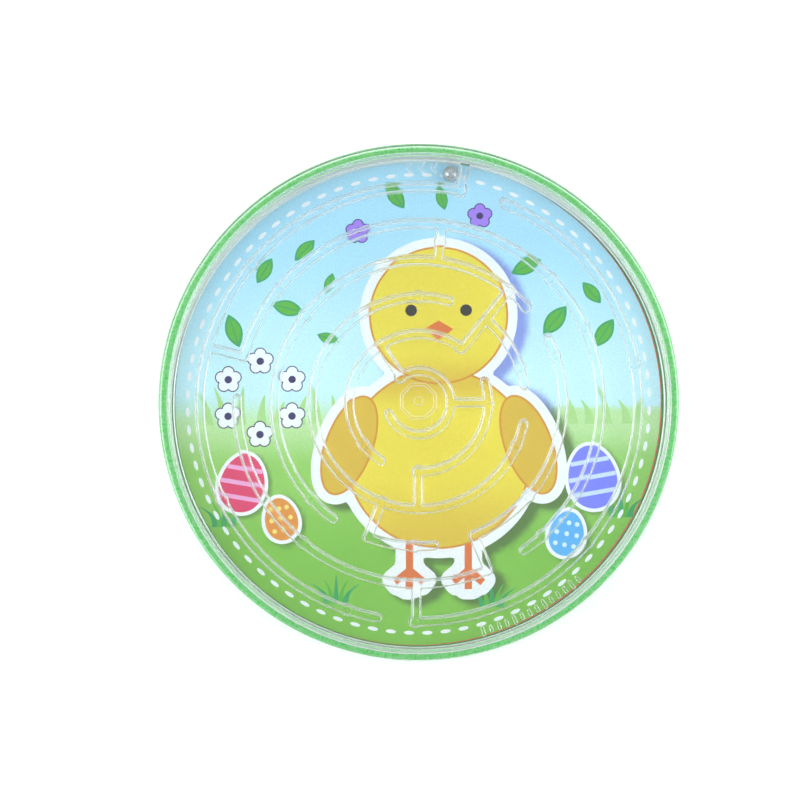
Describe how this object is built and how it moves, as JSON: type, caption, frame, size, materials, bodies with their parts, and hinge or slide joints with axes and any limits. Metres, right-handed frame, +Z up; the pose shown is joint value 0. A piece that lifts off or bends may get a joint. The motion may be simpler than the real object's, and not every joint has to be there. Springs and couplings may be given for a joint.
{
  "type": "tilt maze game",
  "caption": "Round palm-sized tilt maze: a shallow tray and picture card under a clear cover with concentric maze walls, and a loose ball that runs in the lanes.",
  "frame": {"origin": "centre of the tray's flat underside", "axes": "+Z up out of the window, +Y towards the top of the picture, +X to the picture's right"},
  "size_m": [0.06, 0.06, 0.0068],
  "materials": {
    "tray_plastic": "bright green moulded polystyrene with a slight gloss",
    "printed_card": "white card printed in full colour with a bird, eggs, leaves, sky and grass",
    "clear_plastic": "water-clear moulded polystyrene, polished",
    "polished_steel": "polished bearing steel"
  },
  "bodies": {
    "case": {"base_tray": "tray_plastic", "picture_card": "printed_card", "maze_cover": "clear_plastic"},
    "ball": {"steel_ball": "polished_steel"}
  },
  "joints": [
    {"name": "ball_run", "type": "hinge", "parent": "case", "child": "ball", "pos_m": [0, 0, 0.0026], "axis": [0, 0, 1], "range_deg": [0, 353.5]}
  ]
}
